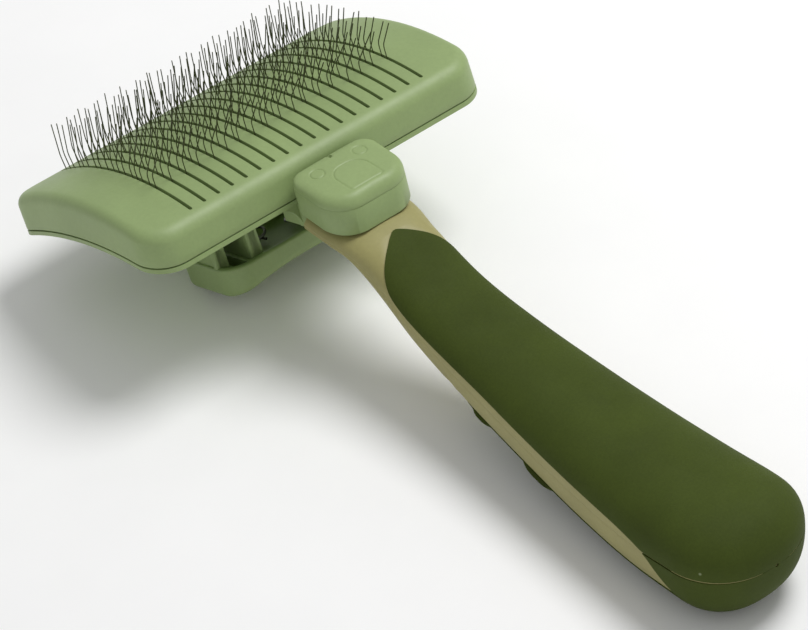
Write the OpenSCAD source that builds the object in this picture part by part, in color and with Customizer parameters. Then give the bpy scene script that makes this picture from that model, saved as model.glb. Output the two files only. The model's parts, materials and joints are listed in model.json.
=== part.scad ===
// Self-cleaning slicker brush, lying on its push pad and the butt of its handle with the pins up.
// Millimetres. +Z up from the resting plane, +Y from the butt towards the head, X along the head.
// The origin is on the resting plane, under the middle of the brush.

/* [Brush head] */
// Length of the head across the brush
head_w = 107.8; // [80:1:130]
// Depth of the head along the brush
head_d = 70.6; // [50:0.2:90]
// Corner radius of the head seen from above
head_corner = 9; // [4:0.5:16]
// Angle between the head and the resting plane
head_tilt = 19.5; // [0:0.5:30]
// Distance of the head's centre in front of the origin
head_y = 80.8; // [60:0.1:100]
// Height of the head's centre above the resting plane
head_z = 33.7; // [25:0.1:45]
// Radius of the arched face
face_r = 101; // [80:1:200]
// Height of the face above the parting line at the middle
face_crown = 10.8; // [8:0.1:16]
// Radius of the arched parting line
seam_r = 137; // [90:1:300]
// Thickness of the cover's walls
cover_wall = 2; // [1.2:0.1:3]
// Thickness of the pin carrier
carrier_t = 1.1; // [1:0.1:3]
// Gap between the cover and the carrier
seam_gap = 0.3; // [0.2:0.05:1]

/* [Pins] */
// Number of rows of pins
rows = 18; // [10:2:24]
// Distance between rows
row_pitch = 4.4; // [3.5:0.1:6]
// Number of pins in a row
pins_per_row = 17; // [8:1:20]
// Distance between the pins of a row
pin_pitch = 2.8; // [2:0.05:4]
// Root of the pin that is nearest to the handle
first_pin_y = -17.6; // [-28:0.1:0]
// Wire radius of a pin
pin_r = 0.2; // [0.15:0.01:0.4]
// Length of a pin below its bend
pin_low = 13.4; // [8:0.1:18]
// Length of a pin above its bend
pin_high = 9.2; // [4:0.1:14]
// Lean of the lower part away from the handle
pin_lean_low = 8; // [0:1:25]
// Lean of the upper part towards the handle
pin_lean_high = 36; // [0:1:45]
// Width of a slot in the cover
slot_w = 0.9; // [0.7:0.05:2]
// Half length of a slot
slot_half = 31.9; // [20:0.1:35]

/* [Push pad] */
// Length of the push pad
pad_w = 48.6; // [30:0.2:80]
// Depth of the push pad
pad_d = 27.8; // [20:0.2:50]
// Corner radius of the push pad
pad_corner = 7; // [3:0.5:12]
// Underside of the push pad at its middle, below the head's centre
pad_bottom = 29.4; // [20:0.1:40]
// Upper edge of the push pad's rim, below the head's centre
pad_rim = 23.4; // [15:0.1:35]
// Radius of the finger dish
dish_r = 110; // [60:1:300]
// Wall of the push pad
pad_wall = 2.2; // [1.5:0.1:4]
// Thickness of the legs that join the cover to the push pad
leg_t = 2.8; // [1.6:0.1:3.2]
// Length of the two middle legs along the brush
leg_len = 22; // [10:1:24]
// Length of the two outer legs along the brush
outer_leg_len = 15; // [8:1:16]

/* [Handle] */
// Wall of the handle shells
shell_wall = 3; // [2:0.1:5]
// Depth of the grips let into the shells
grip_t = 1.2; // [0.8:0.1:2]
// Height that the grips stand above the shells
grip_proud = 0.2; // [0:0.05:1]
// Where the front grip begins, behind the head's centre
front_grip_start = 60.6; // [56:0.1:80]
// Where the back grip begins, behind the head's centre
back_grip_start = 92; // [76:0.5:120]
// Exponent of the handle's rounded section
section_power = 2.4; // [2:0.1:4]

/* [Neck cap] */
// Width of the neck cap
cap_w = 26; // [20:0.5:34]
// Underside of the neck cap above the resting plane
cap_bottom = 40.4; // [36:0.1:44]
// Top of the neck cap above the resting plane
cap_top = 50.2; // [46:0.1:60]
// Lower edge of the neck cap's rear face, behind the head's centre
cap_back = 57; // [48:0.1:62]
// Forward lean of the neck cap's rear face, per millimetre of height
cap_lean = 0.22; // [0:0.01:0.5]
// Upper edge of the neck cap's front face, behind the head's centre
cap_front = 34.8; // [33:0.1:38]
// Gap between the neck cap and the cover
cap_gap = 1.4; // [0.4:0.1:3]
// Corner radius of the neck cap towards the handle
cap_rear_corner = 8.5; // [3:0.5:10]
// Corner radius of the neck cap towards the head
cap_front_corner = 4.5; // [3:0.5:8]
// Edge rounding of the neck cap
cap_round = 2.6; // [1:0.1:4]

/* [Hidden] */
$fn = 64;

// Distance behind the head's centre, height of the parting line, half width, rise above it, drop below it
stations = [
    [36, 36.3, 12.6, 3.8, 3.6],
    [48, 36.3, 12.6, 3.8, 4.2],
    [56, 36, 12, 4.2, 5.5],
    [64, 33, 11.3, 5.5, 8.5],
    [80, 26.5, 12, 6, 11.5],
    [100, 22, 13.5, 7.5, 12.5],
    [125, 18.5, 15.5, 9.5, 14],
    [145, 16.6, 17.1, 10.8, 15.2],
    [163, 16, 18.2, 11.9, 16],
    [180, 17.6, 18.5, 11.1, 17.8],
    [196.4, 17.7, 17.5, 11.4, 17.9]
];
// Edge of the front grip, as [distance, angle above the parting line]
front_edge = [
    [60.6, 85], [61.5, 79], [63, 68], [65.5, 50], [68, 32], [70, 20], [72, 13], [76, 9], [84, 10],
    [94, 13], [107, 15], [122, 13], [150, 11], [160, 9], [166, 5], [170, 1.4], [200, 1.4]
];
// Edge of the back grip, as [distance, angle below the parting line]
back_edge = [
    [91, 80], [94, 62], [97, 45], [101, 34], [110, 30], [171, 30], [179, 1.4], [200, 1.4]
];
// Finger ridges of the back grip, as [distance, length, height]
ridges = [[105.2, 7, 0.7], [127.8, 11.6, 0.9]];

neck_start = 39.9;
nose_start = 180;
nose_len = 16.4;
shell_end_angle = 78;
green = [0.58, 0.66, 0.47];
tan_colour = [0.63, 0.60, 0.42];
dark_green = [0.27, 0.33, 0.16];
steel = [0.45, 0.45, 0.42];
leg_rows = [-5, -3, 3, 5];
tongue_end = 58.6;
neck_screws = [45, 54];
screw_head = 0.8;
spring_x = 6.6;
spring_low = -26.6;
spring_high = -2.9;

function leg_x(k) = k * row_pitch;
function leg_span(k) = abs(k) > 4 ? outer_leg_len : leg_len;
function row_x(i) = (i - (rows - 1) / 2) * row_pitch;
function signed_pow(v, e) = sign(v) * pow(abs(v), e);

// Cubic interpolation of column k of the station table
function slope(i, k) =
    i == 0 ? (stations[1][k] - stations[0][k]) / (stations[1][0] - stations[0][0]) :
    i == len(stations) - 1 ? (stations[i][k] - stations[i - 1][k]) / (stations[i][0] - stations[i - 1][0]) :
    (stations[i + 1][k] - stations[i - 1][k]) / (stations[i + 1][0] - stations[i - 1][0]);
function interval(d) = max([for (i = [0 : len(stations) - 2]) if (i == 0 || d >= stations[i][0]) i]);
function cubic(a, b, ma, mb, t) =
    a * (2 * t * t * t - 3 * t * t + 1) + ma * (t * t * t - 2 * t * t + t)
    + b * (3 * t * t - 2 * t * t * t) + mb * (t * t * t - t * t);
function station(d, k) =
    let (i = interval(d), h = stations[i + 1][0] - stations[i][0])
    cubic(
        stations[i][k], stations[i + 1][k],
        slope(i, k) * h, slope(i + 1, k) * h, (d - stations[i][0]) / h
    );

// The butt rounds off over its last stretch
function nose(d) = d <= nose_start ? 1 : pow(max(1 - pow((d - nose_start) / nose_len, 2.2), 0), 1 / 2.2);
function spread(a, b, n) = [for (i = [0 : n]) a + (b - a) * i / n];
function nose_rings(from, to, n) = [for (a = spread(from, to, n)) nose_start + nose_len * sin(a)];

// Point on the handle at distance d, turned by angle t from +X, sunk by inset; lift scales its height
function handle_point(d, t, inset, lift = 1) =
    let (
        round_off = nose(d),
        a = max(station(d, 2) * round_off - inset, 0.1),
        b = max(station(d, sin(t) >= 0 ? 3 : 4) * round_off - inset, 0.1) * lift
    )
    [
        a * signed_pow(cos(t), 2 / section_power),
        head_y - d,
        max(station(d, 1) + b * signed_pow(sin(t), 2 / section_power), 0)
    ];

// Angles of one half section: strip, grip zone, strip
function half_angles(edge, sgn) = concat(
    [for (t = spread(0, edge - 0.4, 3)) sgn * t],
    [for (t = spread(edge, 180 - edge, 16)) sgn * t],
    [for (t = spread(180.4 - edge, 180, 3)) sgn * t]
);
// Height of the hollow inside a shell, as a share of its full height
function hollow(d) = lookup(d, [[66, 0.1], [74, 1], [172, 1], [184, 0.1]]);

module skin(outer, inner) {
    // Closed shell between rings of outer and inner points
    n = len(outer[0]);
    m = len(outer);
    points = concat([for (ring = outer) each ring], [for (ring = inner) each ring]);
    base = n * m;
    sides = [
        for (i = [0 : m - 2], j = [0 : n - 2]) each [
            [i * n + j, (i + 1) * n + j, (i + 1) * n + j + 1],
            [i * n + j, (i + 1) * n + j + 1, i * n + j + 1],
            [base + i * n + j, base + (i + 1) * n + j + 1, base + (i + 1) * n + j],
            [base + i * n + j, base + i * n + j + 1, base + (i + 1) * n + j + 1]
        ]
    ];
    edges = [
        for (i = [0 : m - 2]) each [
            [i * n, base + i * n, base + (i + 1) * n],
            [i * n, base + (i + 1) * n, (i + 1) * n],
            [i * n + n - 1, base + (i + 1) * n + n - 1, base + i * n + n - 1],
            [i * n + n - 1, (i + 1) * n + n - 1, base + (i + 1) * n + n - 1]
        ]
    ];
    e = (m - 1) * n;
    caps = [
        for (j = [0 : n - 2]) each [
            [j, j + 1, base + j + 1],
            [j, base + j + 1, base + j],
            [e + j, base + e + j + 1, e + j + 1],
            [e + j, base + e + j, base + e + j + 1]
        ]
    ];
    polyhedron(points = points, faces = concat(sides, edges, caps));
}

module half_shell(rings, edges, grip_from, sgn) {
    sunk = grip_t + 0.02;
    outer = [
        for (d = rings) let (t = half_angles(lookup(d, edges), sgn), r = d >= grip_from ? sunk : 0)
            [for (j = [0 : len(t) - 1]) handle_point(d, t[j], j > 3 && j < 21 ? r : 0)]
    ];
    inner = [
        for (d = rings) let (t = half_angles(lookup(d, edges), sgn))
            let (wall = min(shell_wall, station(d, 2) * nose(d) * 0.5))
                [for (j = [0 : len(t) - 1]) handle_point(d, t[j], wall, hollow(d))]
    ];
    skin(outer, inner);
}

function ridge_height(d) = max([
    for (r = ridges) let (u = abs(d - r[0]) * 2 / r[1]) u < 1 ? r[2] * pow(1 - pow(u, 4), 2) : 0
]);

module grip_skin(rings, edges, sgn, ridged) {
    inset_angle = 0.2;
    outer = [
        for (d = rings) let (edge = lookup(d, edges) + inset_angle, up = ridged ? ridge_height(d) : 0)
            [for (t = spread(edge, 180 - edge, 16)) handle_point(d, sgn * t, -grip_proud - up * sin(t))]
    ];
    inner = [
        for (d = rings)
            let (
                edge = lookup(d, edges) + inset_angle,
                butt = d > nose_start + nose_len * sin(shell_end_angle) + 0.01,
                depth = butt ? station(d, 2) * nose(d) * 0.9 : grip_t
            )
                [for (t = spread(edge, 180 - edge, 16)) handle_point(d, sgn * t, depth)]
    ];
    skin(outer, inner);
}

module at_head() {
    translate([0, head_y, head_z]) rotate([-head_tilt, 0, 0]) children();
}

module rounded_plan(w, d, r) {
    square([w - 2 * r, d], center = true);
    square([w, d - 2 * r], center = true);
    for (x = [-1, 1], y = [-1, 1]) translate([x * (w / 2 - r), y * (d / 2 - r)]) circle(r);
}

module head_prism(w, d, r, low, high) {
    translate([0, 0, low]) linear_extrude(high - low) rounded_plan(w, d, r);
}

module bar_along_x(r, top, w) {
    // Long cylinder along X whose crest is at height top
    translate([-w / 2, 0, top - r]) rotate([0, 90, 0]) cylinder(h = w, r = r);
}

module slot(w, half) {
    square([w, 2 * half - w], center = true);
    for (s = [-1, 1]) translate([0, s * (half - w / 2)]) circle(w / 2);
}

module leg_passages(gap, low) {
    // Room for the legs, with a gap on every side
    for (k = leg_rows) translate([leg_x(k) - leg_t / 2 - gap, -leg_span(k) / 2 - gap, low])
        cube([leg_t + 2 * gap, leg_span(k) + 2 * gap, 20]);
}

module face_cover() {
    roof = cover_wall + 0.2;
    inner_w = head_w - 2 * cover_wall;
    inner_d = head_d - 2 * cover_wall;
    color(green) at_head() difference() {
        union() {
            difference() {
                intersection() {
                    head_prism(head_w, head_d, head_corner, -8, 20);
                    bar_along_x(face_r, face_crown, head_w + 10);
                }
                bar_along_x(seam_r, 0, head_w + 20);
                intersection() {
                    head_prism(inner_w, inner_d, head_corner - cover_wall, -9, 20);
                    bar_along_x(face_r - roof, face_crown - roof, head_w + 10);
                }
            }
            for (k = leg_rows) translate([leg_x(k) - leg_t / 2, -leg_span(k) / 2, -26])
                cube([leg_t, leg_span(k), 26 + face_crown - 1.4]);
        }
        for (i = [0 : rows - 1]) translate([row_x(i), 0, 2]) linear_extrude(12) slot(slot_w, slot_half);
        for (k = leg_rows) translate([leg_x(k), 0, -30]) cylinder(h = 10, r = 0.85);
    }
}

module push_pad() {
    color(green) difference() {
        at_head() pad_body();
        // The lowest edge is worn to a narrow flat on the resting plane
        translate([-pad_w, head_y - 40, -20]) cube([2 * pad_w, 80, 20]);
    }
}

module pad_body() {
    inner_w = pad_w - 2 * pad_wall;
    inner_d = pad_d - 2 * pad_wall;
    difference() {
        union() {
            difference() {
                head_prism(pad_w, pad_d, pad_corner, -36, -pad_rim);
                difference() {
                    head_prism(inner_w, inner_d, pad_corner - pad_wall, -37, -pad_rim + 1);
                    dish(pad_wall);
                }
            }
            intersection() {
                head_prism(pad_w - 1, pad_d - 1, pad_corner - 0.5, -36, -24.6);
                for (k = leg_rows) translate([leg_x(k), 0, -30.4])
                    cube([leg_t + 2.4, pad_d, 12], center = true);
            }
        }
        dish(0);
        leg_passages(0.1, -26.05);
        for (k = leg_rows) translate([leg_x(k), 0, -36]) {
            cylinder(h = 12, r = 0.85);
            cylinder(h = 36 - screw_depth(leg_x(k)), r = 1.9);
        }
    }
}

// Depth of the dish's surface and of the screw seats below the head's centre
function dish_depth(x) = pad_bottom + dish_r - sqrt(dish_r * dish_r - x * x);
function screw_depth(x) = dish_depth(x) - 1.1;

module dish(t) {
    // Everything below the finger dish's surface, raised by t
    translate([0, -60, -pad_bottom - dish_r]) rotate([-90, 0, 0]) cylinder(h = 120, r = dish_r + t);
}

module pad_screws() {
    color(steel) at_head() for (k = leg_rows) translate([leg_x(k), 0, -screw_depth(leg_x(k))]) difference() {
        union() {
            translate([0, 0, -0.9]) cylinder(h = 0.9, r = 1.7);
            translate([0, 0, -0.4]) cylinder(h = 8, r = 0.8);
        }
        for (a = [0, 90]) translate([0, 0, -0.9]) rotate([0, 0, a]) cube([1.8, 0.4, 0.9], center = true);
    }
}

module head_frame() {
    color(green) {
        at_head() difference() {
            union() {
                difference() {
                    intersection() {
                        head_prism(head_w, head_d, head_corner, -9, 5);
                        bar_along_x(seam_r - seam_gap, -seam_gap, head_w + 10);
                    }
                    bar_along_x(seam_r - seam_gap - carrier_t, -seam_gap - carrier_t, head_w + 20);
                }
                for (s = [-1, 1]) translate([s * spring_x, 0, -6.4]) cylinder(h = 5.4, r = 2.1);
                translate([-10.4, -35.2, -12.6]) cube([20.8, 9, 7.2]);
                translate([-10.4, -37, -12.6]) cube([20.8, 3, 6.2]);
                for (s = [0, 1]) mirror([s, 0, 0]) {
                    translate([10.3, -34.6, -5.5]) web_fillet(7.4, 1.8);
                    translate([10.3, -31.6, -4.6]) web_fillet(5, 1.8);
                }
            }
            translate([-8.2, -34, -20]) cube([16.4, 6, 12]);
            leg_passages(0.3, -10);
        }
        difference() {
            tongue(0);
            for (d = neck_screws) translate([0, head_y - d, 30]) cylinder(h = 12, r = 1);
        }
    }
}

module tongue(gap) {
    // Flat bar that reaches into the handle
    translate([-7.4 - gap, head_y - tongue_end - gap, head_z + 0.6 - gap])
        cube([14.8 + 2 * gap, tongue_end - 36 + gap, 3.6 + 2 * gap]);
}

module web_fillet(r, t) {
    // Concave corner between the carrier and the side of the web
    rotate([-90, 0, 0]) linear_extrude(t) difference() {
        translate([-0.4, -0.8]) square([r + 0.4, r + 0.8]);
        translate([r, r]) circle(r);
        translate([r - 0.01, -0.8]) square([1, 0.8]);
    }
}

module pin_cushion() {
    color([0.22, 0.24, 0.2]) at_head() difference() {
        intersection() {
            head_prism(head_w - 8.6, head_d - 8.6, head_corner - 4.3, -9, 6);
            bar_along_x(seam_r + 2, 2, head_w + 10);
        }
        bar_along_x(seam_r - seam_gap, -seam_gap, head_w + 20);
        leg_passages(0.3, -10);
        difference() {
            for (i = [0 : rows - 1]) translate([row_x(i) - 0.3, -24, -9]) cube([0.6, 54, 14]);
            bar_along_x(seam_r + 0.2, 0.2, head_w + 20);
        }
    }
}

module pin() {
    // A wire with one bend, standing on the origin
    rotate([-pin_lean_low, 0, 0]) {
        cylinder(h = pin_low, r = pin_r);
        translate([0, 0, pin_low - 0.02]) rotate([pin_lean_low + pin_lean_high, 0, 0])
            cylinder(h = pin_high, r = pin_r);
    }
}

module pin_row(i) {
    color(steel) at_head() for (j = [0 : pins_per_row - 1]) {
        a = asin((first_pin_y + j * pin_pitch) / seam_r);
        translate([row_x(i), 0, -seam_r]) rotate([-a, 0, 0]) translate([0, 0, seam_r + 0.25]) pin();
    }
}

module handle_front_shell() {
    color(tan_colour) difference() {
        half_shell(
            concat(
                spread(neck_start, front_grip_start - 0.1, 9), spread(front_grip_start, 76, 9),
                spread(80, nose_start, 24), nose_rings(14, shell_end_angle, 6)
            ),
            front_edge, front_grip_start, 1
        );
        tongue(0.2);
    }
}

module handle_back_shell() {
    color(tan_colour) difference() {
        half_shell(
            concat(
                spread(neck_start, back_grip_start - 0.1, 18), spread(back_grip_start, 104, 5),
                spread(107, nose_start, 18), nose_rings(14, shell_end_angle, 6)
            ),
            back_edge, back_grip_start, -1
        );
        tongue(0.2);
        for (d = neck_screws) translate([0, head_y - d, 20]) {
            cylinder(h = 20, r = 1.35);
            cylinder(h = screw_seat(d) - 20, r = 2.7);
        }
    }
}

function screw_seat(d) = station(d, 1) - station(d, 4) + screw_head + 0.1;

module front_grip() {
    color(dark_green) grip_skin(
        concat(
            spread(front_grip_start, 76, 9), spread(80, nose_start, 24),
            nose_rings(14, shell_end_angle, 6), nose_rings(shell_end_angle + 0.3, 86, 3)
        ),
        front_edge, 1, false
    );
}

module back_grip() {
    color(dark_green) grip_skin(
        concat(
            spread(back_grip_start, 104, 5), spread(107, nose_start, 18),
            nose_rings(14, shell_end_angle, 6), nose_rings(shell_end_angle + 0.3, 86, 3)
        ),
        back_edge, -1, true
    );
}

module neck_cap() {
    color(green) difference() {
        hull() {
            cap_slab(cap_bottom, 0);
            cap_slab(cap_top - cap_round, 0);
            cap_slab(cap_top - 0.4 * cap_round, 0.2 * cap_round);
            cap_slab(cap_top - 0.1, cap_round);
        }
        at_head() translate([-30, -head_d / 2 - cap_gap, -30]) cube([60, 60, 60]);
        translate([-cap_w / 2 + 3.4, head_y - 50.5, cap_bottom - 1]) cube([cap_w - 6.8, 9.5, 8.4]);
        at_head() translate([-0.8, -head_d / 2 - cap_gap - 0.8, -20]) cube([1.6, 4, 60]);
        for (s = [-1, 1]) translate([s * 6.8, head_y - 40, cap_top - 0.35]) difference() {
            cylinder(h = 2, r = 1.95);
            translate([0, 0, -1]) cylinder(h = 4, r = 1.65);
        }
        translate([0, head_y - 47, cap_top - 0.35]) linear_extrude(2) difference() {
            shield_plan(5.2);
            shield_plan(4.9);
        }
    }
}

module cap_slab(low, inset) {
    // Thin corners of the cap at one height; its rear edge moves forward as it rises
    rear = head_y - cap_back + cap_lean * (low - cap_bottom);
    for (x = [-1, 1]) {
        translate([x * (cap_w / 2 - cap_rear_corner), rear + cap_rear_corner, low])
            cylinder(h = 0.1, r = cap_rear_corner - inset, $fn = 32);
        translate([x * (cap_w / 2 - cap_front_corner), head_y - cap_front - cap_front_corner, low])
            cylinder(h = 0.1, r = cap_front_corner - inset, $fn = 32);
    }
}

module shield_plan(h) {
    // Arched outline, round towards the head and square towards the handle
    translate([-h, -h]) square([2 * h, h]);
    intersection() {
        circle(h);
        translate([-h, -0.1]) square([2 * h, h + 0.1]);
    }
}

module handle_screws() {
    color(steel) for (d = neck_screws) translate([0, head_y - d, screw_seat(d)]) difference() {
        union() {
            translate([0, 0, -screw_head]) cylinder(h = screw_head, r = 2.4);
            translate([0, 0, -0.2]) cylinder(h = head_z + 4.1 - screw_seat(d) + 0.2, r = 0.95);
        }
        for (a = [0, 90]) translate([0, 0, -screw_head]) rotate([0, 0, a])
            cube([2.6, 0.5, 0.8], center = true);
    }
}

module return_springs() {
    // Compression springs between the push pad and the carrier
    turns = 7;
    steps = 14;
    wire = 0.4;
    coil = 2.9;
    n = turns * steps;
    low = spring_low + wire;
    high = spring_high - wire;
    rings = [
        for (i = [0 : n]) let (a = 360 * i / steps, z = low + (high - low) * i / n) [
            for (j = [0 : 5]) let (c = coil + wire * cos(60 * j))
                [c * cos(a), c * sin(a), z + wire * sin(60 * j)]
        ]
    ];
    sides = [
        for (i = [0 : n - 1], j = [0 : 5]) let (k = (j + 1) % 6) each [
            [i * 6 + j, i * 6 + k, (i + 1) * 6 + k],
            [i * 6 + j, (i + 1) * 6 + k, (i + 1) * 6 + j]
        ]
    ];
    ends = [for (j = [1 : 4]) each [[0, j + 1, j], [n * 6, n * 6 + j, n * 6 + j + 1]]];
    color([0.7, 0.71, 0.7]) at_head() for (s = [-1, 1]) translate([s * spring_x, 0, 0])
        polyhedron(points = [for (ring = rings) each ring], faces = concat(sides, ends));
}

head_frame();
pin_cushion();
handle_front_shell();
handle_back_shell();
front_grip();
back_grip();
neck_cap();
handle_screws();
return_springs();
face_cover();
push_pad();
pad_screws();
pin_row(0);  // pin_row_01
pin_row(1);  // pin_row_02
pin_row(2);  // pin_row_03
pin_row(3);  // pin_row_04
pin_row(4);  // pin_row_05
pin_row(5);  // pin_row_06
pin_row(6);  // pin_row_07
pin_row(7);  // pin_row_08
pin_row(8);  // pin_row_09
pin_row(9);  // pin_row_10
pin_row(10);  // pin_row_11
pin_row(11);  // pin_row_12
pin_row(12);  // pin_row_13
pin_row(13);  // pin_row_14
pin_row(14);  // pin_row_15
pin_row(15);  // pin_row_16
pin_row(16);  // pin_row_17
pin_row(17);  // pin_row_18
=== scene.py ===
import json
import math
import random

import bmesh
import bpy
from mathutils import Matrix, Vector


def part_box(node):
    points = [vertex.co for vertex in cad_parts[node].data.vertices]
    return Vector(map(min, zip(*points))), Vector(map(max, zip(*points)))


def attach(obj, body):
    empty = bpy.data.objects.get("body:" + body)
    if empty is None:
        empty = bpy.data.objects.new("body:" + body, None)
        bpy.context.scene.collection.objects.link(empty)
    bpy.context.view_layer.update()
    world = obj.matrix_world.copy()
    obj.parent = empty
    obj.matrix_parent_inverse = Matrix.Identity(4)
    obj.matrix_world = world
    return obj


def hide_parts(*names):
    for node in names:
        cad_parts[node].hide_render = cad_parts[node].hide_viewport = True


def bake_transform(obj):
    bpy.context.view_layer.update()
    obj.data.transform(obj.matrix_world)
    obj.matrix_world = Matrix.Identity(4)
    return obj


# Self-cleaning slicker brush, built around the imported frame.
# Points are worked out in millimetres and become metres when a mesh is made.

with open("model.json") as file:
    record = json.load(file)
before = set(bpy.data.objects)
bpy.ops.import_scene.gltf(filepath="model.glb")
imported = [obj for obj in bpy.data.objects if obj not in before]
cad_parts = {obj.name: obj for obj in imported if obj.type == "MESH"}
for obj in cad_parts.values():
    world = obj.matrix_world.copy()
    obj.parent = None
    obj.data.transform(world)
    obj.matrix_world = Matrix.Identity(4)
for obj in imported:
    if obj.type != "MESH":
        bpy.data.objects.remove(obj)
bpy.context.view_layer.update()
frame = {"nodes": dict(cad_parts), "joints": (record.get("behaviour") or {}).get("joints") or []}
rng = random.Random(7)

# ---- The frame's own places -------------------------------------------------

MM = 0.001
slide = frame["joints"][0]
TILT = math.atan2(slide["axis"][1], slide["axis"][2])
cover_low, cover_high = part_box("face_cover")

# ---- Driving dimensions, in millimetres and degrees -------------------------

HEAD_Y = 80.8
HEAD_Z = 33.7
HEAD_W = (cover_high.x - cover_low.x) / MM
HEAD_D = 70.6
HEAD_CORNER = 9
FACE_R = 101
FACE_CROWN = 10.8
SEAM_R = 137
COVER_WALL = 2
COVER_FILLET = 3
ROOF = 2.2
ROWS = 18
ROW_PITCH = 4.4
PINS_PER_ROW = 17
PIN_PITCH = 2.8
FIRST_PIN_Y = -17.6
PIN_R = 0.155
PIN_LOW = 13.4
PIN_HIGH = 9.2
PIN_LEAN_LOW = 3
PIN_LEAN_HIGH = -32
PIN_KNEE = 2.4
SLOT_W = 0.9
SLOT_HALF = 31.9
PAD_W = 48.6
PAD_D = 27.8
PAD_CORNER = 7
PAD_BOTTOM = 29.4
PAD_RIM = 23.4
PAD_WALL = 2.2
DISH_R = 110
LEG_T = 2.8
LEG_FOOT = -26
# How deep each leg is from front to back, by its place in rows from the middle
LEG_SPANS = {-5: 15, -3: 22, 3: 22, 5: 15}
SHELL_WALL = 3
GRIP_T = 1.2
GRIP_PROUD = 0.25
SECTION_POWER = 2.4
NECK_START = 39.9
FRONT_GRIP_START = 60.6
BACK_GRIP_START = 92
NOSE_START = 180
NOSE_LEN = 16.4
# Angle along the nose's curve at which the rubber's last ring lies
NOSE_TIP = 89.5
NECK_SCREWS = (45, 54)
CAP_W = 26
CAP_BOTTOM = 40.25
CAP_TOP = 50.2
CAP_BACK = 57
CAP_FRONT = 34.8
CAP_LEAN = 0.22
CAP_GAP = 1.4
CAP_FRONT_CORNER = 4.5
CAP_REAR_CORNER = 8.5
CAP_FILLET = 2.6
CAP_PARTING = 47.2
CAP_MIDDLE = -44.5
# Engraving on the cap: the outline of a plate, and two rings
PLATE_Y = -46.8
PLATE_HALF_W = 5.1
PLATE_HALF_D = 5.05
RING_X = 6.8
RING_Y = -40
RING_R = 1.85

# Distance behind the head's centre, height of the parting line, half width, rise above the line,
# drop below it
STATIONS = [
    (36, 36.3, 12.6, 3.8, 3.6),
    (48, 36.3, 12.6, 3.8, 4.2),
    (56, 36, 12, 4.2, 5.5),
    (64, 33, 11.3, 5.5, 8.5),
    (80, 26.5, 12, 6, 11.5),
    (100, 22, 13.5, 7.5, 12.5),
    (125, 18.5, 15.5, 9.5, 14),
    (145, 16.6, 17.1, 10.8, 15.2),
    (163, 16, 18.2, 11.9, 16),
    (180, 17.6, 18.5, 11.1, 17.8),
    (196.4, 17.7, 17.5, 11.4, 17.9),
]
# Edges of the grips, as (distance, angle from the parting line)
FRONT_EDGE = [
    (60.6, 89), (61, 86.5), (62, 80.5), (63.5, 71), (65.5, 56), (68, 36), (70, 22), (72, 13), (76, 9),
    (84, 10), (94, 13), (107, 15), (122, 13), (150, 11), (160, 9), (166, 5), (170, 0.8), (174, 0.5),
    (200, 0.5),
]
BACK_EDGE = [(91.5, 84), (94, 62), (97, 45), (101, 34), (110, 30), (180.5, 30)]
# Where the butt's rubber begins: it slants back as it goes down from the parting line
BUTT_START = 170.5
BUTT_SLANT = 180.5
SEAM = 0.5
# Finger ridges, as (distance, length along the handle, height)
RIDGES = ((105.2, 7, 0.7), (127.8, 11.6, 0.9))


# ---- Small tools ------------------------------------------------------------

def spread(a, b, n):
    """n + 1 even steps from a to b."""
    return [a + (b - a) * i / n for i in range(n + 1)]


def lookup(x, table):
    """Smooth interpolation in a list of pairs, held at its ends."""
    if x <= table[0][0]:
        return table[0][1]
    if x >= table[-1][0]:
        return table[-1][1]
    i = max(k for k in range(len(table) - 1) if x >= table[k][0])

    def rate(k):
        low, high = max(k - 1, 0), min(k + 1, len(table) - 1)
        return (table[high][1] - table[low][1]) / (table[high][0] - table[low][0])

    h = table[i + 1][0] - table[i][0]
    t = (x - table[i][0]) / h
    value = table[i][1] * (2 * t ** 3 - 3 * t * t + 1) + table[i + 1][1] * (3 * t * t - 2 * t ** 3)
    return value + rate(i) * h * (t ** 3 - 2 * t * t + t) + rate(i + 1) * h * (t ** 3 - t * t)


def from_head(p):
    """A point of the tilted head, in the row frame."""
    x, y, z = p
    c, s = math.cos(TILT), math.sin(TILT)
    return (x, HEAD_Y + y * c + z * s, HEAD_Z - y * s + z * c)


class Sheet:
    """Points and faces of one piece, gathered in millimetres."""

    def __init__(self):
        self.points = []
        self.faces = []

    def ring(self, points):
        start = len(self.points)
        self.points += points
        return list(range(start, len(self.points)))

    def bridge(self, a, b, closed=True):
        n = len(a)
        for i in range(n if closed else n - 1):
            j = (i + 1) % n
            self.faces.append((a[i], a[j], b[j], b[i]))

    def fan(self, ring):
        x, y, z = (sum(self.points[i][k] for i in ring) / len(ring) for k in range(3))
        middle = self.ring([(x, y, z)])[0]
        for i, j in zip(ring, ring[1:] + ring[:1]):
            self.faces.append((i, j, middle))

    def loft(self, rings, closed=True):
        made = [self.ring(r) for r in rings]
        for a, b in zip(made, made[1:]):
            self.bridge(a, b, closed)
        return made

    def solid(self, rings):
        """Closed solid through the rings, with a fan at each end."""
        made = self.loft(rings)
        self.fan(made[0])
        self.fan(made[-1])


def mesh_of(name, sheet, place, weld):
    """Mesh of a sheet in metres, with its normals facing out and, if asked, its doubled points joined."""
    mesh = bpy.data.meshes.new(name)
    mesh.from_pydata([Vector(place(p)) * MM for p in sheet.points], [], sheet.faces)
    work = bmesh.new()
    work.from_mesh(mesh)
    if weld:
        bmesh.ops.remove_doubles(work, verts=work.verts, dist=0.004 * MM)
        bmesh.ops.dissolve_degenerate(work, edges=work.edges, dist=0.001 * MM)
    bmesh.ops.recalc_face_normals(work, faces=work.faces)
    work.to_mesh(mesh)
    work.free()
    return mesh


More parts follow.
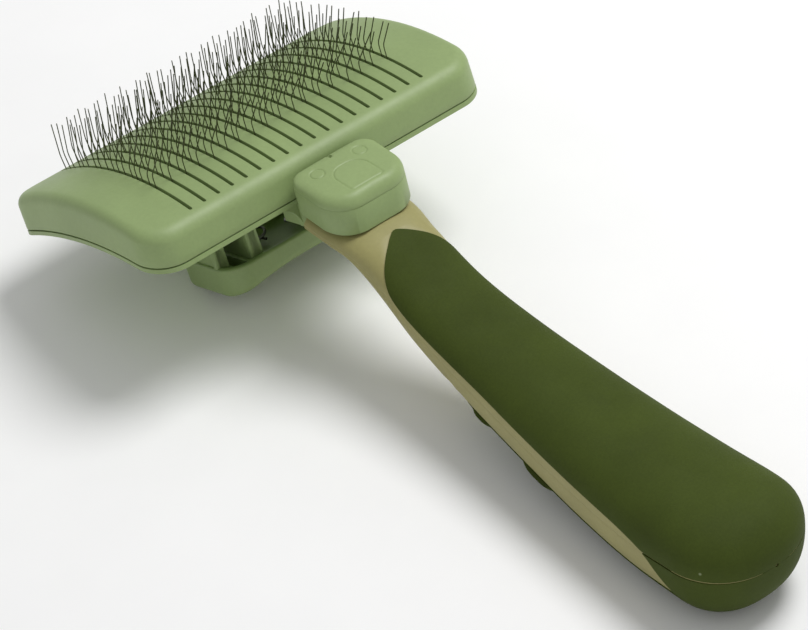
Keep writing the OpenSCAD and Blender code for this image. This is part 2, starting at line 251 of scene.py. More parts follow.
def make(name, sheet, material, body, slot, *nodes, place=from_head, sharp=32):
    """Turns a sheet into a named piece that rides on a body and stands for CAD nodes."""
    mesh = mesh_of(name, sheet, place, weld=True)
    mesh.shade_smooth()
    mesh.set_sharp_from_angle(angle=math.radians(sharp))
    mesh.materials.append(material)
    piece = bpy.data.objects.new(name, mesh)
    bpy.context.scene.collection.objects.link(piece)
    if nodes:
        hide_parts(*nodes)
    if body:
        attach(piece, body)
    return piece


def cut(piece, sheet, place=from_head):
    """Takes a closed solid out of a piece."""
    tool = bpy.data.objects.new("cutter", mesh_of("cutter", sheet, place, weld=False))
    bpy.context.scene.collection.objects.link(tool)
    step = piece.modifiers.new("cut", "BOOLEAN")
    step.operation = "DIFFERENCE"
    step.solver = "EXACT"
    step.object = tool
    bpy.context.view_layer.update()
    seen = piece.evaluated_get(bpy.context.evaluated_depsgraph_get())
    result = bpy.data.meshes.new_from_object(seen)
    piece.modifiers.remove(step)
    old = piece.data
    piece.data = result
    result.shade_smooth()
    result.set_sharp_from_angle(angle=math.radians(32))
    bpy.data.meshes.remove(old)
    bpy.data.objects.remove(tool)


def disc(x, y, r, z0, z1, n=32):
    """Rings of an upright cylinder."""
    turn = [2 * math.pi * i / n for i in range(n)]
    return [[(x + r * math.cos(a), y + r * math.sin(a), z) for a in turn] for z in (z0, z1)]


class Outline:
    """Rounded rectangle whose inset copies all have matching points."""

    def __init__(self, w, d, r, along_x, along_y, arc):
        self.r = r
        cx, cy = w / 2 - r, d / 2 - r
        self.core = []
        sides = [
            ([(cx, y) for y in along_y], (1, 0), (cx, cy), 0),
            ([(x, cy) for x in reversed(along_x)], (0, 1), (-cx, cy), 90),
            ([(-cx, y) for y in reversed(along_y)], (-1, 0), (-cx, -cy), 180),
            ([(x, -cy) for x in along_x], (0, -1), (cx, -cy), 270),
        ]
        for points, normal, corner, start in sides:
            self.core += [(p, normal) for p in points]
            for i in range(1, arc):
                a = math.radians(start + 90 * i / arc)
                self.core.append((corner, (math.cos(a), math.sin(a))))

    def ring(self, inset, height):
        reach = self.r - inset
        plan = [(x + u * reach, y + v * reach) for (x, y), (u, v) in self.core]
        return [(x, y, height(x, y)) for x, y in plan]


# ---- Materials --------------------------------------------------------------

class Look:
    """Builds one procedural material from noise in object space."""

    def __init__(self, name, roughness, metallic=0.0, specular=0.5):
        self.material = bpy.data.materials.new(name)
        self.material.use_nodes = True
        self.tree = self.material.node_tree
        self.shader = self.tree.nodes["Principled BSDF"]
        self.shader.inputs["Metallic"].default_value = metallic
        self.shader.inputs["Specular IOR Level"].default_value = specular
        self.shader.inputs["Roughness"].default_value = roughness
        self.coordinate = self.tree.nodes.new("ShaderNodeTexCoord").outputs["Object"]

    def link(self, a, b):
        self.tree.links.new(a, b)

    def noise(self, scale, detail=3.0, roughness=0.55, stretch=None):
        node = self.tree.nodes.new("ShaderNodeTexNoise")
        node.inputs["Scale"].default_value = scale
        node.inputs["Detail"].default_value = detail
        node.inputs["Roughness"].default_value = roughness
        source = self.coordinate
        if stretch:
            mapping = self.tree.nodes.new("ShaderNodeMapping")
            mapping.inputs["Scale"].default_value = stretch
            self.link(source, mapping.inputs["Vector"])
            source = mapping.outputs["Vector"]
        self.link(source, node.inputs["Vector"])
        return node.outputs["Fac"]

    def ramp(self, value, stops):
        node = self.tree.nodes.new("ShaderNodeValToRGB")
        while len(node.color_ramp.elements) < len(stops):
            node.color_ramp.elements.new(0.5)
        for element, (place, colour) in zip(node.color_ramp.elements, stops):
            element.position = place
            element.color = (*colour, 1)
        self.link(value, node.inputs["Fac"])
        return node.outputs["Color"]

    def spans(self, value, low, high):
        node = self.tree.nodes.new("ShaderNodeMapRange")
        node.inputs["To Min"].default_value = low
        node.inputs["To Max"].default_value = high
        self.link(value, node.inputs["Value"])
        return node.outputs["Result"]

    def mix(self, factor, a, b, mode="MIX"):
        node = self.tree.nodes.new("ShaderNodeMix")
        node.data_type = "RGBA"
        node.blend_type = mode
        for socket, value in ((0, factor), (6, a), (7, b)):
            if isinstance(value, (int, float)):
                node.inputs[socket].default_value = value
            elif isinstance(value, tuple):
                node.inputs[socket].default_value = (*value, 1)
            else:
                self.link(value, node.inputs[socket])
        return node.outputs[2]

    def colour(self, value):
        self.link(value, self.shader.inputs["Base Color"])

    def rough(self, value):
        self.link(value, self.shader.inputs["Roughness"])

    def bump(self, *layers):
        """Layers are (height, depth in metres)."""
        normal = None
        for height, depth in layers:
            node = self.tree.nodes.new("ShaderNodeBump")
            node.inputs["Strength"].default_value = 1
            node.inputs["Distance"].default_value = depth
            self.link(height, node.inputs["Height"])
            if normal:
                self.link(normal, node.inputs["Normal"])
            normal = node.outputs["Normal"]
        self.link(normal, self.shader.inputs["Normal"])


def shade(colour, factor):
    return tuple(c * factor for c in colour)


def plastic(name, colour, roughness):
    """Satin moulded plastic: faint mottling, fine spark texture and light scuffs."""
    look = Look(name, roughness, specular=0.45)
    broad = look.noise(55, 2)
    fine = look.noise(900, 4, 0.6)
    base = look.ramp(broad, [(0.3, shade(colour, 0.95)), (0.7, shade(colour, 1.04))])
    mottled = look.ramp(fine, [(0.3, (0.96, 0.96, 0.96)), (0.7, (1.03, 1.03, 1.03))])
    scratches = look.noise(240, 6, 0.75, (1, 6, 1))
    scuffs = look.ramp(scratches, [(0.66, (0, 0, 0)), (0.74, (0.25, 0.25, 0.25))])
    toned = look.mix(1.0, base, mottled, "MULTIPLY")
    look.colour(look.mix(scuffs, toned, shade(colour, 1.18)))
    look.rough(look.spans(look.noise(160, 5, 0.65), roughness - 0.08, roughness + 0.1))
    look.bump((fine, 0.00003), (look.noise(2600, 2), 0.000012))
    return look.material


def rubber(name, colour, roughness=0.72):
    """Matt over-moulded rubber: eroded grain, worn patches and a few specks of dust."""
    look = Look(name, roughness, specular=0.16)
    broad = look.noise(38, 3)
    grain = look.noise(1500, 5, 0.7)
    base = look.ramp(broad, [(0.3, shade(colour, 0.86)), (0.72, shade(colour, 1.14))])
    grained = look.ramp(grain, [(0.3, (0.9, 0.9, 0.9)), (0.7, (1.08, 1.08, 1.08))])
    toned = look.mix(1.0, base, grained, "MULTIPLY")
    specks = look.tree.nodes.new("ShaderNodeTexVoronoi")
    specks.inputs["Scale"].default_value = 95
    look.link(look.coordinate, specks.inputs["Vector"])
    dust = look.ramp(specks.outputs["Distance"], [(0.0, (1, 1, 1)), (0.045, (0, 0, 0))])
    look.colour(look.mix(dust, toned, (0.3, 0.34, 0.2)))
    look.rough(look.spans(look.noise(120, 5, 0.7), roughness - 0.1, roughness + 0.12))
    look.bump((grain, 0.00005), (look.noise(420, 3), 0.00004))
    return look.material


def drawn_steel(name, colour, roughness, stretch, metallic=1.0):
    """Steel with fine drawing lines along one axis and dull spots."""
    look = Look(name, roughness, metallic=metallic)
    lines = look.noise(500, 4, 0.6, stretch)
    spots = look.noise(300, 5, 0.7)
    base = look.ramp(spots, [(0.35, shade(colour, 0.7)), (0.7, shade(colour, 1.15))])
    lined = look.ramp(lines, [(0.3, (0.85, 0.85, 0.85)), (0.7, (1.1, 1.1, 1.1))])
    look.colour(look.mix(1.0, base, lined, "MULTIPLY"))
    look.rough(look.spans(spots, roughness - 0.08, roughness + 0.14))
    look.bump((lines, 0.00001))
    return look.material


SAGE = plastic("sage_plastic", (0.272, 0.364, 0.148), 0.46)
TAN = plastic("tan_plastic", (0.325, 0.300, 0.115), 0.5)
GRIP = rubber("grip_rubber", (0.050, 0.071, 0.009))
CUSHION = rubber("cushion_rubber", (0.03, 0.035, 0.025), 0.8)
# The pins' colour is a dark steel with a green tint. The green tint is painted reflection of the green
# plastic around the pins.
PIN_WITH_PAINTED_REFLECTION = drawn_steel("pin_steel", (0.10, 0.112, 0.048), 0.4, (8, 8, 1), 0.6)
SCREW = drawn_steel("screw_steel", (0.5, 0.5, 0.48), 0.35, (1, 8, 8))
SPRING = drawn_steel("spring_steel", (0.22, 0.22, 0.21), 0.36, (1, 1, 8))


# ---- Cover ------------------------------------------------------------------

def face_height(y):
    return FACE_CROWN - FACE_R + math.sqrt(FACE_R ** 2 - y * y)


def roof_height(y):
    inner = FACE_R - ROOF
    return FACE_CROWN - ROOF - inner + math.sqrt(inner ** 2 - y * y)


def seam_height(y):
    return math.sqrt(SEAM_R ** 2 - y * y) - SEAM_R


def row_x(i):
    return (i - (ROWS - 1) / 2) * ROW_PITCH


def slot_ring(sheet, x, half_w, steps, height, drop=0.0):
    """Outline of one slot, counterclockwise from its lower right."""
    end = SLOT_HALF - SLOT_W / 2
    ends = [math.radians(180 * i / 6) for i in range(1, 6)]
    plan = [(x + half_w, y) for y in steps]
    plan += [(x + half_w * math.cos(a), end + half_w * math.sin(a)) for a in ends]
    plan += [(x - half_w, y) for y in reversed(steps)]
    plan += [(x - half_w * math.cos(a), -end - half_w * math.sin(a)) for a in ends]
    return sheet.ring([(u, v, height(v) - drop) for u, v in plan])


def slotted_cell(sheet, x, half_w, steps, edge_y, height):
    """The face around one slot, out to half a row on each side. Returns the slot's outline."""
    slot = slot_ring(sheet, x, half_w, steps, height)
    n = len(steps)
    right = sheet.ring([(x + ROW_PITCH / 2, y, height(y)) for y in [-edge_y, *steps, edge_y]])
    left = sheet.ring([(x - ROW_PITCH / 2, y, height(y)) for y in [-edge_y, *steps, edge_y]])
    middle = sheet.ring([(x, -edge_y, height(edge_y)), (x, edge_y, height(edge_y))])
    sheet.bridge(right[1:-1], slot[:n], closed=False)
    up = slot[n - 1:n + 6]
    left_up = slot[n + 5:2 * n + 5]
    sheet.bridge(left[1:-1], list(reversed(left_up)), closed=False)
    down = slot[2 * n + 4:] + slot[:1]
    sheet.faces.append((right[-2], right[-1], middle[1], up[3], *reversed(up[:3])))
    sheet.faces.append((middle[1], left[-1], left[-2], *reversed(up[3:])))
    sheet.faces.append((left[1], left[0], middle[0], *reversed(down[:4])))
    sheet.faces.append((middle[0], right[0], right[1], *reversed(down[3:])))
    return slot


def face_sheet(sheet, half_w, steps, outline, height):
    """One skin of the slotted face, inside the ring where the edge's rounding starts."""
    edge_y = HEAD_D / 2 - COVER_FILLET
    slots = [slotted_cell(sheet, row_x(i), half_w, steps, edge_y, height) for i in range(ROWS)]
    ring = outline.ring(COVER_FILLET, lambda x, y: height(y))
    side = ROWS * ROW_PITCH / 2
    rows = [-edge_y, *steps, edge_y]
    for s in (1, -1):
        end = [p for p in ring if p[0] * s > side + 0.01]
        end.sort(key=lambda p: math.atan2(p[1], p[0] * s))
        target = [(s * side, -edge_y), *[(p[0], p[1]) for p in end], (s * side, edge_y)]
        columns = []
        for k in spread(0, 1, 4):
            plan = [(s * side + (x - s * side) * k, v + (y - v) * k) for v, (x, y) in zip(rows, target)]
            columns.append([(x, y, height(y)) for x, y in plan])
        sheet.loft(columns, closed=False)
    return slots


def rounded_block(sheet, low, high, r=0.4, edge=0.25):
    """Closed block with rounded upright edges and chamfered ends."""
    (x0, y0, z0), (x1, y1, z1) = low, high
    half_w, half_d = (x1 - x0) / 2, (y1 - y0) / 2
    core = Outline(x1 - x0, y1 - y0, r, [r - half_w, half_w - r], [r - half_d, half_d - r], 4)
    cx, cy = (x0 + x1) / 2, (y0 + y1) / 2
    rings = []
    for inset, z in ((edge, z0), (0, z0 + edge), (0, z1 - edge), (edge, z1)):
        rings.append([(x + cx, y + cy, z) for x, y, _ in core.ring(inset, lambda x, y: 0)])
    sheet.solid(rings)


def face_cover():
    """Arched face with its slots, walls and the legs that reach the push pad."""
    sheet = Sheet()
    lip = 0.07
    end = SLOT_HALF - SLOT_W / 2
    steps = spread(-end, end, 42)
    halves = (-1, 0, 1)
    columns = sorted({round(row_x(i) + k * ROW_PITCH / 2, 6) for i in range(ROWS) for k in halves})
    cx = HEAD_W / 2 - HEAD_CORNER
    cy = HEAD_D / 2 - HEAD_CORNER
    outline = Outline(HEAD_W, HEAD_D, HEAD_CORNER, [-cx, *columns, cx], spread(-cy, cy, 18), 12)
    outer = face_sheet(sheet, SLOT_W / 2 + lip, steps, outline, face_height)
    inner = face_sheet(sheet, SLOT_W / 2, steps, outline, roof_height)
    for i, (top, bottom) in enumerate(zip(outer, inner)):
        edge = slot_ring(sheet, row_x(i), SLOT_W / 2, steps, face_height, lip)
        sheet.bridge(top, edge)
        sheet.bridge(edge, bottom)
    r = COVER_FILLET
    rings = []
    for a in (math.radians(90 * i / 9) for i in range(10)):
        inset, drop = r * (1 - math.sin(a)), r * (1 - math.cos(a))
        rings.append(outline.ring(inset, lambda x, y: face_height(y) - drop))
    low = 0.3
    for part in (0.33, 0.66):
        rings.append(outline.ring(
            0, lambda x, y: (face_height(y) - r) * (1 - part) + (seam_height(y) + low) * part))
    for inset, lift in ((0, low), (0.09, 0.09), (low, 0), (COVER_WALL - 0.2, 0), (COVER_WALL, 0.2)):
        rings.append(outline.ring(inset, lambda x, y: seam_height(y) + lift))
    rings.append(outline.ring(COVER_WALL, lambda x, y: roof_height(y) - 1.2))
    rings.append(outline.ring(COVER_WALL + 0.3, lambda x, y: roof_height(y) - 0.4))
    rings.append(outline.ring(r, lambda x, y: roof_height(y)))
    sheet.loft(rings)
    for k, span in LEG_SPANS.items():
        x = k * ROW_PITCH
        head = FACE_CROWN - ROOF - 0.6
        rounded_block(sheet, (x - LEG_T / 2, -span / 2, LEG_FOOT), (x + LEG_T / 2, span / 2, head))
        for s in (-1, 1):
            y = s * (span / 2 - 0.9)
            rounded_block(sheet, (x - 1.9, y - 0.9, -25.2), (x + 1.9, y + 0.9, 1.5))
    return make("face_cover_moulding", sheet, SAGE, "stripper", "sage_plastic", "face_cover", sharp=40)


# ---- Push pad ---------------------------------------------------------------

def dish_height(x):
    return -(PAD_BOTTOM + DISH_R - math.sqrt(DISH_R ** 2 - x * x))


def on_floor(p):
    x, y, z = from_head(p)
    return (x, y, max(z, 0))


def push_pad():
    """Open tray with a dished underside, ribs that grip the legs and sunk screw seats."""
    cx, cy = PAD_W / 2 - PAD_CORNER, PAD_D / 2 - PAD_CORNER
    outline = Outline(PAD_W, PAD_D, PAD_CORNER, spread(-cx, cx, 28), spread(-cy, cy, 8), 12)
    sheet = Sheet()

    def scaled(share, lift):
        ring = outline.ring(PAD_WALL, lambda x, y: 0)
        return [(x * share, y * share, dish_height(x * share) + lift) for x, y, _ in ring]

    def arc(r, steps):
        turn = [math.radians(90 * i / steps) for i in range(steps + 1)]
        return [(r * (1 - math.sin(a)), r * (1 - math.cos(a))) for a in turn]

    shares = [0.03, *spread(0.1, 1, 12)]
    rings = [scaled(s, 0) for s in shares]
    for inset, drop in arc(PAD_WALL, 8)[1:]:
        rings.append(outline.ring(inset, lambda x, y: dish_height(x) + drop))
    lip = 0.7
    rim = -PAD_RIM
    for inset, drop in reversed(arc(lip, 5)):
        rings.append(outline.ring(inset, lambda x, y: rim - drop))
    for inset, drop in arc(lip, 5):
        rings.append(outline.ring(PAD_WALL - inset, lambda x, y: rim - drop))
    rings.append(outline.ring(PAD_WALL, lambda x, y: dish_height(x) + PAD_WALL))
    rings += [scaled(s, PAD_WALL) for s in reversed(shares)]
    sheet.solid(rings)
    pad = make(
        "push_pad_moulding", sheet, SAGE, "stripper", "sage_plastic", "push_pad", place=on_floor, sharp=40)
    for k in LEG_SPANS:
        x = k * ROW_PITCH
        hole = Sheet()
        hole.solid(disc(x, 0, 1.9, -36, dish_height(x) + 1.1))
        cut(pad, hole)
    ribs = Sheet()
    for k, span in LEG_SPANS.items():
        x = k * ROW_PITCH
        reach = min(span / 2 + 1.6, PAD_D / 2 - 1.4)
        for s in (-1, 1):
            inner = s * (LEG_T / 2 + 0.15)
            outer = s * (LEG_T / 2 + 1.3)
            low, high = sorted((x + inner, x + outer))
            foot = dish_height(x) + 1.2
            if abs(high) < PAD_W / 2 - 1 and abs(low) < PAD_W / 2 - 1:
                rounded_block(ribs, (low, -reach, foot), (high, reach, -24.7), 0.3, 0.2)
    make("push_pad_ribs", ribs, SAGE, "stripper", "sage_plastic")
    return pad


# ---- Handle -----------------------------------------------------------------

def station(d, k):
    """Smooth value of column k of the stations at distance d."""
    return lookup(d, [(row[0], row[k]) for row in STATIONS])


def signed_pow(v, e):
    return math.copysign(abs(v) ** e, v)


def nose(d):
    if d <= NOSE_START:
        return 1
    return max(1 - ((d - NOSE_START) / NOSE_LEN) ** 2.2, 0) ** (1 / 2.2)


def handle_point(d, t, inset, lift=1):
    """Point of the handle at distance d and angle t, in degrees, sunk by inset."""
    a = math.radians(t)
    end = nose(d)
    half = max(station(d, 2) * end - inset, 0.05)
    tall = max(station(d, 3 if t >= 0 else 4) * end - inset, 0.05) * lift
    x = half * signed_pow(math.cos(a), 2 / SECTION_POWER)
    z = station(d, 1) + tall * signed_pow(math.sin(a), 2 / SECTION_POWER)
    return (x, HEAD_Y - d, max(z, 0))


def in_row(p):
    return p


def nose_rings(low, high, n):
    return [NOSE_START + NOSE_LEN * math.sin(math.radians(a)) for a in spread(low, high, n)]


def shell_ring(d, edge, sgn, sunk):
    """Outer points of a half shell from one side's parting line to the other's."""
    side = [(edge * f, sink) for f, sink in ((0, 0.2), (0.03, 0.06), (0.08, 0))]
    side += [(edge * f, 0) for f in (0.3, 0.55, 0.8, 0.97)]
    side.append((edge * 0.985, 0.1 if sunk else 0))
    zone = [(a, sunk) for a in spread(edge, 180 - edge, 40)]
    across = side + zone + [(180 - a, s) for a, s in reversed(side)]
    return [handle_point(d, sgn * a, s) for a, s in across]


def hollow(d):
    return lookup(d, [(66, 0.1), (74, 1), (172, 1), (184, 0.1)])


def close_skin(sheet, outer, inner):
    """Faces of an open skin: its two sides, its ends and its long edges."""
    for rings in (outer, inner):
        for a, b in zip(rings, rings[1:]):
            sheet.bridge(a, b, closed=False)
    for a, b in ((outer[0], inner[0]), (outer[-1], inner[-1])):
        sheet.bridge(a, b, closed=False)
    for side in (0, -1):
        sheet.bridge([r[side] for r in outer], [r[side] for r in inner], closed=False)


def half_shell(name, rings, edge_at, grip_from, sgn, node):
    """One tan half of the handle, with the seat of its grip let in."""
    sheet = Sheet()
    outer, inner = [], []
    for d in rings:
        ring = shell_ring(d, edge_at(d), sgn, GRIP_T if d >= grip_from else 0)
        wall = min(SHELL_WALL, station(d, 2) * nose(d) * 0.5)
        outer.append(sheet.ring(ring))
        across = spread(0, 180, len(ring) - 1)
        inner.append(sheet.ring([handle_point(d, sgn * a, wall, hollow(d)) for a in across]))
    close_skin(sheet, outer, inner)
    return make(name, sheet, TAN, "handle", "tan_plastic", node, place=in_row, sharp=40)


def ridge(d, t):
    """Height of the finger ridges at distance d and angle t below the parting line."""
    rise = 0
    for middle, length, height in RIDGES:
        u = abs(d - middle) / (length / 2)
        if u < 1:
            rise = height * (1 - u ** 4) ** 2
    return rise * min(1, math.sin(math.radians(t)) * 2.2)


def grip_line(d, edge, sgn, ridged=False):
    """One line of grip points across the handle at distance d, a little proud of the shell."""
    points = []
    for a in spread(edge, 180 - edge, 60):
        up = ridge(d, a) if ridged else 0
        points.append(handle_point(d, sgn * a, -GRIP_PROUD - up))
    return points


def grip(name, sheet, node):
    """Gives a grip's surface its thickness and a rolled edge."""
    piece = make(name, sheet, GRIP, "handle", "grip_rubber", node, place=in_row, sharp=50)
    thick = piece.modifiers.new("thickness", "SOLIDIFY")
    thick.thickness = 1.3 * MM
    thick.offset = -1
    roll = piece.modifiers.new("rolled_edge", "BEVEL")
    roll.width = 0.3 * MM
    roll.segments = 3
    roll.limit_method = "ANGLE"
    roll.angle_limit = math.radians(55)
    return piece


def front_edge(d):
    return lookup(d, FRONT_EDGE)


def back_edge(d):
    return lookup(d, BACK_EDGE) if d < BUTT_SLANT else SEAM


def butt_start(a):
    """Distance at which the butt's rubber begins, at angle a from the parting line."""
    side = min(a, 180 - a)
    share = min(max((side - SEAM) / (BACK_EDGE[-1][1] - SEAM), 0), 1)
    return BUTT_START + (BUTT_SLANT - BUTT_START) * share ** 0.7


def shells(front, back, tail):
    """The two tan half shells. The rear one has screw holes in its neck."""
    neck = spread(NECK_START, FRONT_GRIP_START - 0.02, 24)
    rings = neck + front + tail
    half_shell("front_handle_shell", rings, front_edge, FRONT_GRIP_START, 1, "handle_front_shell")
    neck = spread(NECK_START, BACK_GRIP_START - 0.02, 50)
    rings = neck + back + [BUTT_SLANT - 0.1, BUTT_SLANT] + tail
    rear = half_shell("back_handle_shell", rings, back_edge, BACK_GRIP_START, -1, "handle_back_shell")
    for d in NECK_SCREWS:
        hole = Sheet()
        seat = station(d, 1) - station(d, 4) + 0.95
        hole.solid(disc(0, HEAD_Y - d, 2.7, 20, seat))
        cut(rear, hole, in_row)


def front_grip(distances):
    """The rubber over the top of the handle, round its nose to the tip."""
    sheet = Sheet()
    sheet.loft([grip_line(d, front_edge(d), 1) for d in distances], closed=False)
    grip("front_grip_skin", sheet, "front_grip")


def back_grip(distances):
    """The ridged rubber under the handle, and the butt's rubber that wraps up to the parting line."""
    sheet = Sheet()
    sheet.loft([grip_line(d, lookup(d, BACK_EDGE), -1, ridged=True) for d in distances], closed=False)
    low = BACK_EDGE[-1][1]
    angles = spread(SEAM, low, 24)[:-1] + spread(low, 180 - low, 60)
    angles += spread(180 - low, 180 - SEAM, 24)[1:]
    last = NOSE_START + NOSE_LEN * math.sin(math.radians(NOSE_TIP))
    lines = []
    for share in [math.sin(math.radians(a)) for a in spread(0, 90, 40)]:
        places = [(butt_start(a) + (last - butt_start(a)) * share, a) for a in angles]
        lines.append([handle_point(d, -a, -GRIP_PROUD) for d, a in places])
    sheet.loft(lines, closed=False)
    grip("back_grip_skin", sheet, "back_grip")


def handle():
    """Two tan half shells and the two grips let into them, with closer rings where edges curve."""
    tail = nose_rings(6, 78, 14)
    opening = [FRONT_GRIP_START + 16 * f * f for f in spread(0.02, 1, 36)]
    front = opening + spread(77.6, NOSE_START, 100)
    opening = [BACK_GRIP_START + 12 * f * f for f in spread(0.02, 1, 24)]
    back = opening + spread(104.4, 136, 90) + spread(137, NOSE_START, 40)
    shells(front, back, tail)
    front_grip(front + tail + nose_rings(79, NOSE_TIP, 8))
    back_grip(back + [BUTT_SLANT])


# ---- Neck cap ---------------------------------------------------------------

def cap_outline(z, inset):
    """Plan of the cap at height z: its front keeps clear of the cover and its rear leans forward."""
    wall = (-HEAD_D / 2 - CAP_GAP + (z - HEAD_Z) * math.sin(TILT)) / math.cos(TILT)
    x1 = CAP_W / 2 - inset
    y0 = -CAP_BACK + CAP_LEAN * (z - CAP_BOTTOM) + inset
    y1 = min(wall, -CAP_FRONT) - inset
    front = max(CAP_FRONT_CORNER - inset, 0.6)
    rear = max(CAP_REAR_CORNER - inset, 0.6)
    corners = (
        (x1 - front, y1 - front, front, 0), (front - x1, y1 - front, front, 90),
        (rear - x1, y0 + rear, rear, 180), (x1 - rear, y0 + rear, rear, 270),
    )
    arcs = []
    for cx, cy, r, start in corners:
        turn = [math.radians(a) for a in spread(start, start + 90, 24)]
        arcs.append([(cx + r * math.cos(a), cy + r * math.sin(a)) for a in turn])
    path = []
    for arc, following in zip(arcs, arcs[1:] + arcs[:1]):
        (ax, ay), (bx, by) = arc[-1], following[0]
        path += arc + [(ax + (bx - ax) * k, ay + (by - ay) * k) for k in spread(0, 1, 56)[1:-1]]
    return path


def groove(gap, width=0.2, depth=0.2):
    return depth * math.exp(-(gap / width) ** 2)


def shield_gap(x, y):
    """Distance from the line of a plate that is round towards the head and square towards the handle."""
    corner = 4.2 if y > 0 else 0.9
    qx, qy = abs(x) - PLATE_HALF_W + corner, abs(y) - PLATE_HALF_D + corner
    return abs(math.hypot(max(qx, 0), max(qy, 0)) + min(max(qx, qy), 0) - corner)


def cap_top(x, y):
    """Height of the cap's top, with its engraved rings and plate and the nick in its front edge."""
    z = CAP_TOP - 0.004 * (x * x) - 0.05 * (y + 44)
    z -= groove(shield_gap(x, y - PLATE_Y))
    for s in (-1, 1):
        z -= groove(math.hypot(x - s * RING_X, y - RING_Y) - RING_R)
    nick = max(0, 1 - (x / 0.6) ** 4) * max(0, min(1, (y + 37.3) / 0.5))
    return z - 0.9 * nick


def neck_cap():
    """Rounded cap over the neck, with a parting groove and an engraved top."""
    sheet = Sheet()
    rings = []

    def level(z, inset):
        return [(x, y, z) for x, y in cap_outline(z, inset)]

    for lift, inset in ((1.5, 3), (0, 2), (0, 0.3), (0.3, 0)):
        rings.append(level(CAP_BOTTOM + lift, inset))
    for lift, inset in ((-0.15, 0), (0, 0.1), (0.15, 0)):
        rings.append(level(CAP_PARTING + lift, inset))
    rings.append(level(CAP_TOP - CAP_FILLET, 0))
    for i in range(1, 10):
        a = math.radians(90 * i / 9)
        inset, z = CAP_FILLET * (1 - math.cos(a)), CAP_TOP - CAP_FILLET * (1 - math.sin(a))
        plan = cap_outline(z, inset)
        rings.append([(x, y, z - (CAP_TOP - cap_top(x, y)) * math.sin(a) ** 2) for x, y in plan])
    plan = cap_outline(CAP_TOP, CAP_FILLET)
    for k in spread(1, 0.01, 64)[1:]:
        inner = [(x * k, CAP_MIDDLE + (y - CAP_MIDDLE) * k) for x, y in plan]
        rings.append([(x, y, cap_top(x, y)) for x, y in inner])
    sheet.solid(rings)

    def behind_head(p):
        x, y, z = p
        return (x, HEAD_Y + y, z)

    make("neck_cap_moulding", sheet, SAGE, "handle", "sage_plastic", "neck_cap", place=behind_head, sharp=50)


# ---- Pins and springs -------------------------------------------------------

def tube(sheet, path, radii, n):
    """Round tube along a path, closed at both ends."""
    side = Vector((1, 0, 0))
    rings = []
    for i, (p, r) in enumerate(zip(path, radii)):
        ahead = Vector(path[min(i + 1, len(path) - 1)])
        along = (ahead - Vector(path[max(i - 1, 0)])).normalized()
        side = (side - along * side.dot(along)).normalized()
        other = along.cross(side)
        turn = [2 * math.pi * k / n for k in range(n)]
        rings.append([tuple(Vector(p) + (side * math.cos(a) + other * math.sin(a)) * r) for a in turn])
    sheet.solid(rings)


def pin(sheet, x, root_y):
    """One bent wire: nearly upright through its slot, then leaning back towards the handle."""
    around = math.asin(root_y / SEAM_R)
    sideways = math.radians(rng.uniform(-1.5, 1.5))
    lean_low = math.radians(PIN_LEAN_LOW + rng.gauss(0, 1.8)) + around * 0.8
    lean_high = math.radians(PIN_LEAN_HIGH + rng.gauss(0, 3.2)) + around * 1.5
    low, high = PIN_LOW + rng.gauss(0, 0.3), PIN_HIGH + rng.gauss(0, 0.3)
    steps = 6

    def heading(lean, swing):
        flat = math.cos(swing)
        return Vector((math.sin(swing), math.sin(lean) * flat, math.cos(lean) * flat))

    path = [Vector((x, SEAM_R * math.sin(around), SEAM_R * (math.cos(around) - 1) + 0.25))]
    path.append(path[0] + heading(lean_low, 0) * (low - PIN_KNEE / 2))
    for k in range(steps):
        share = (k + 0.5) / steps
        lean = lean_low + (lean_high - lean_low) * share
        path.append(path[-1] + heading(lean, sideways * share) * PIN_KNEE / steps)
    path.append(path[-1] + heading(lean_high, sideways) * (high - PIN_KNEE / 2))
    radii = [PIN_R] * len(path)
    path.append(path[-1] + heading(lean_high, sideways) * 0.1)
    radii.append(PIN_R * 0.45)
    tube(sheet, path, radii, 6)


def pins():
    """A row of wires behind each slot."""
    for i in range(ROWS):
        sheet = Sheet()
        for j in range(PINS_PER_ROW):
            x = row_x(i) + rng.uniform(-0.05, 0.05)
            pin(sheet, x, FIRST_PIN_Y + j * PIN_PITCH + rng.gauss(0, 0.35))
        make(f"pins_{i + 1:02d}", sheet, PIN_WITH_PAINTED_REFLECTION, "handle", "pin_steel", f"pin_row_{i + 1:02d}", sharp=60)


def return_springs():
    """Two coils standing for the return springs, made once at one length."""
    sheet = Sheet()
    wire, coil, turns, steps = 0.4, 2.9, 7, 24
    low, high, x = -26.6 + wire, -2.9 - wire, 6.6
    for s in (-1, 1):
        path = []
        for i in range(turns * steps + 1):
            a = 2 * math.pi * i / steps
            t = i / (turns * steps)
            path.append((s * x + coil * math.cos(a), coil * math.sin(a), low + (high - low) * t))
        tube(sheet, path, [wire] * len(path), 8)
    coils = make("return_spring_coils", sheet, SPRING, None, "spring_steel", "return_springs", sharp=60)
    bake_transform(coils)


def carried_over():
    """The CAD pieces that stay get their materials and softened edges."""
    for name, material in (
        ("head_frame", SAGE), ("pin_cushion", CUSHION),
        ("handle_screws", SCREW), ("pad_screws", SCREW),
    ):
        node = frame["nodes"][name]
        node.data.materials.clear()
        node.data.materials.append(material)
        width = 0.25 if name == "head_frame" else 0.12
        soften = node.modifiers.new("edges", "BEVEL")
        soften.width = width * MM
        soften.segments = 2
        soften.limit_method = "ANGLE"
        soften.angle_limit = math.radians(50)


# ---- Floor, light and camera ------------------------------------------------

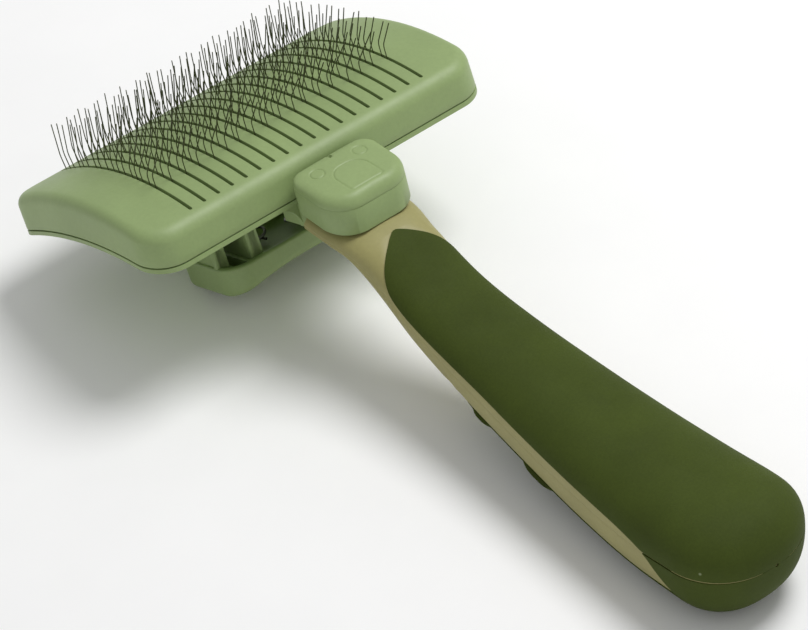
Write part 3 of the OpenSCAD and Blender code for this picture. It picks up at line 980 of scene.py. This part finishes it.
def studio():
    """White sweep under even, soft light."""
    mesh = bpy.data.meshes.new("floor")
    size = 3.0
    corners = [(-size, -size, 0), (size, -size, 0), (size, size, 0), (-size, size, 0)]
    mesh.from_pydata(corners, [], [(0, 1, 2, 3)])
    floor = bpy.data.objects.new("floor", mesh)
    bpy.context.scene.collection.objects.link(floor)
    paper = Look("paper", 0.9, specular=0.1)
    tones = [(0.3, (0.96, 0.96, 0.96)), (0.7, (0.98, 0.98, 0.98))]
    paper.colour(paper.ramp(paper.noise(30), tones))
    mesh.materials.append(paper.material)
    world = bpy.data.worlds.new("studio")
    world.use_nodes = True
    world.node_tree.nodes["Background"].inputs["Color"].default_value = (1, 1, 1, 1)
    world.node_tree.nodes["Background"].inputs["Strength"].default_value = 0.47
    bpy.context.scene.world = world
    softbox((0.42, -0.05, 0.9), (0, 0, 0.02), 0.5, 6.2)


def softbox(place, aim, size, power):
    light = bpy.data.lights.new("softbox", "AREA")
    light.shape = "DISK"
    light.size = size
    light.energy = power
    lamp = bpy.data.objects.new("softbox", light)
    lamp.location = place
    lamp.rotation_euler = (Vector(aim) - Vector(place)).to_track_quat("-Z", "Y").to_euler()
    bpy.context.scene.collection.objects.link(lamp)


def camera():
    """The view that looks down over the near corner of the head."""
    lens = bpy.data.cameras.new("camera")
    lens.sensor_width = 36
    lens.lens = 177.2
    lens.clip_start = 0.05
    azimuth, elevation, roll = (math.radians(a) for a in (-35.88, 40.27, -6.16))
    turn = Matrix.Rotation(azimuth, 3, "Z") @ Matrix.Rotation(math.pi / 2 - elevation, 3, "X")
    eye = bpy.data.objects.new("camera", lens)
    eye.matrix_world = Matrix.Translation((-0.44943, -0.60142, 0.66162)) @ (
        turn @ Matrix.Rotation(roll, 3, "Z")).to_4x4()
    bpy.context.scene.collection.objects.link(eye)
    bpy.context.scene.camera = eye
    bpy.context.scene.view_settings.view_transform = "Standard"


camera()
studio()
face_cover()
push_pad()
handle()
neck_cap()
pins()
return_springs()
carried_over()
